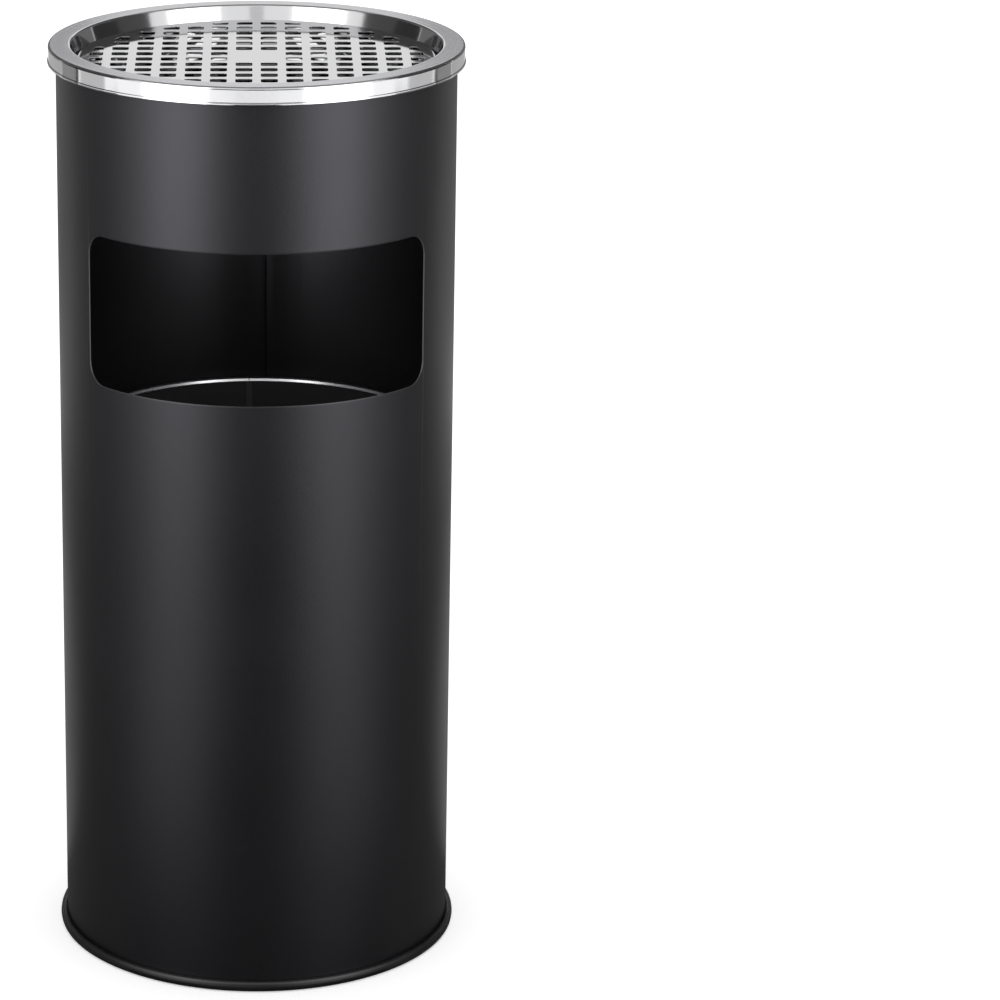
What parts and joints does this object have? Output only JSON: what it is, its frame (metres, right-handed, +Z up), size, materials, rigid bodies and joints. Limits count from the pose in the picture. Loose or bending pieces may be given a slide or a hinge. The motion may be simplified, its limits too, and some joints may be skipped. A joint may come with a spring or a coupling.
{
  "type": "ashtray bin",
  "caption": "Round steel litter bin with a grilled ashtray head on top, a wide drop-in window in front and a lift-out bucket with a bail handle inside.",
  "frame": {"origin": "on the floor at the middle of the base ring", "axes": "+Z up along the bin's axis, -Y out of the window"},
  "size_m": [0.2604, 0.2604, 0.586],
  "materials": {
    "powder_coat": "matt",
    "black_moulding": "satin",
    "polished_steel": "polished",
    "brushed_steel": "brushed",
    "zinc_steel": "satin"
  },
  "bodies": {
    "shell": {"shell": "powder_coat", "floor_pan": "zinc_steel", "base_ring": "black_moulding"},
    "bucket": {"bucket_wall": "brushed_steel", "bucket_floor": "brushed_steel"},
    "bail": {"bail": "polished_steel", "bail_ball_left": "polished_steel", "bail_ball_right": "polished_steel"},
    "lid": {"lid": "polished_steel"},
    "bowl": {"ash_bowl": "polished_steel"},
    "grille": {"grille": "polished_steel"}
  },
  "joints": [
    {"name": "bucket_lift", "type": "slide", "parent": "shell", "child": "bucket", "axis": [0, 0, 1], "range_m": [0, 0.6]},
    {"name": "bail_swing", "type": "hinge", "parent": "bucket", "child": "bail", "pos_m": [0, 0, 0.324], "axis": [1, 0, 0], "range_deg": [-180, 180]},
    {"name": "lid_lift", "type": "slide", "parent": "bucket", "child": "lid", "axis": [0, 0, 1], "range_m": [0, 0.12]},
    {"name": "bowl_lift", "type": "slide", "parent": "lid", "child": "bowl", "axis": [0, 0, 1], "range_m": [0, 0.06]},
    {"name": "grille_lift", "type": "slide", "parent": "bowl", "child": "grille", "axis": [0, 0, 1], "range_m": [0, 0.06]}
  ]
}
